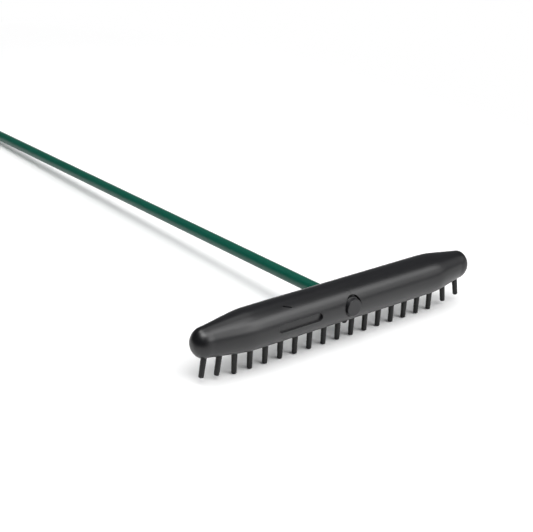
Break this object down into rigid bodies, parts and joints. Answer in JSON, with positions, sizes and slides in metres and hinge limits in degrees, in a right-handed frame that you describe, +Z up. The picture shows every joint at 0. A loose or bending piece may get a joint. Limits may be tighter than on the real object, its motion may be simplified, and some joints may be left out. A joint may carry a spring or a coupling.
{
  "type": "bunker rake",
  "caption": "Bunker rake with a round, closed moulded head that tapers to domed ends, a row of short blunt tines and a long straight coated tube handle.",
  "frame": {"origin": "on the ground, under the middle of the whole rake's outline, as it lies on its tine tips and on the end of its handle", "axes": "+X along the head, +Y from the head towards the free end of the handle, +Z up. The handle falls 2.36 degrees from level towards its free end"},
  "size_m": [0.614, 1.5368, 0.1113],
  "materials": {
    "moulded_head": "black moulded polypropylene, satin with a fine grain",
    "moulded_tine": "black moulded plastic, satin",
    "moulded_bush": "black moulded plastic, satin",
    "coated_tube": "dark green coating, satin",
    "vinyl_cap": "black dipped vinyl, matte",
    "screw_steel": "blackened, low sheen"
  },
  "bodies": {
    "root": {"rake_head": "moulded_head", "socket_bush": "moulded_bush", "handle_tube": "coated_tube", "fixing_screw": "screw_steel", "handle_end_cap": "vinyl_cap", "tine_01": "moulded_tine", "tine_02": "moulded_tine", "tine_03": "moulded_tine", "tine_04": "moulded_tine", "tine_05": "moulded_tine", "tine_06": "moulded_tine", "tine_07": "moulded_tine", "tine_08": "moulded_tine", "tine_09": "moulded_tine", "tine_10": "moulded_tine", "tine_11": "moulded_tine", "tine_12": "moulded_tine", "tine_13": "moulded_tine", "tine_14": "moulded_tine", "tine_15": "moulded_tine", "tine_16": "moulded_tine", "tine_17": "moulded_tine", "tine_18": "moulded_tine", "tine_19": "moulded_tine"}
  },
  "joints": []
}
